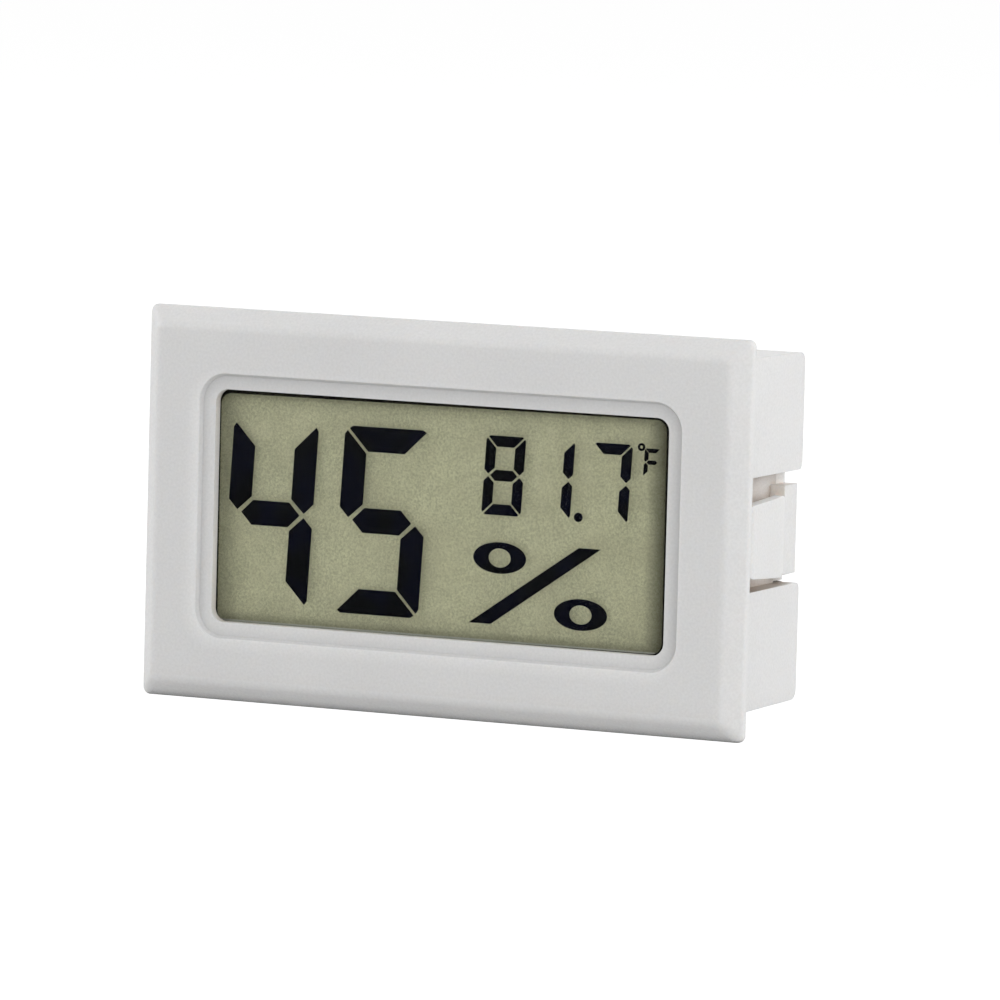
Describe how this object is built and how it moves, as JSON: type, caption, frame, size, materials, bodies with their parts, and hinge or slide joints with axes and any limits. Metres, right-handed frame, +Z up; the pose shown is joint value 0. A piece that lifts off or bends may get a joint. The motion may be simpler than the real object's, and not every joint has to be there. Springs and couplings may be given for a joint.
{
  "type": "panel thermo-hygrometer",
  "caption": "Snap-in panel meter that shows relative humidity and temperature on a sunk liquid crystal display, with spring clips at its ends and a battery door at the rear.",
  "frame": {"origin": "centre of the bezel's rear face, which seats on the panel round the cut-out", "axes": "+X to the right and +Z up as the display is read from the front; +Y runs from the display through the panel to the battery door"},
  "size_m": [0.048, 0.0152, 0.0286],
  "materials": {
    "case_plastic": "fine matt light grey-white",
    "cover_plastic": "matt warm white",
    "cell_steel": "bright drawn steel",
    "contact_metal": "nickel-plated strip",
    "polarizer": "satin film",
    "glass": "clear",
    "reflector": "grey-green matt reflector",
    "seal": "cured resin",
    "ink": "near-black lit segments",
    "zebra_rubber": "layered silicone rubber",
    "board": "green solder resist",
    "chip_resin": "black resin",
    "sensor_film": "coated ceramic plate",
    "bead_resin": "dipped bead",
    "resistor_black": "black film chip",
    "capacitor_tan": "tan ceramic chip"
  },
  "bodies": {
    "meter": {"front_case": "case_plastic", "rear_cover": "cover_plastic", "cell_left": "cell_steel", "cell_right": "cell_steel", "contact_negative": "contact_metal", "contact_positive": "contact_metal", "lcd_front_polarizer": "polarizer", "lcd_front_glass": "glass", "lcd_rear_glass": "glass", "lcd_reflector": "reflector", "lcd_seal": "seal", "zebra_strip_upper": "zebra_rubber", "zebra_strip_lower": "zebra_rubber", "humidity_digits": "ink", "temperature_digits": "ink", "percent_mark": "ink", "degree_mark": "ink", "circuit_board": "board", "chip_blob": "chip_resin", "humidity_sensor": "sensor_film", "thermistor": "bead_resin", "board_resistors": "resistor_black", "board_capacitors": "capacitor_tan"},
    "door": {"battery_door": "cover_plastic", "door_bridge": "contact_metal"}
  },
  "joints": [
    {"name": "door_tilt", "type": "hinge", "parent": "meter", "child": "door", "pos_m": [-0.0179, 0.0134, 0], "axis": [0, 0, 1], "range_deg": [0, 40]}
  ]
}
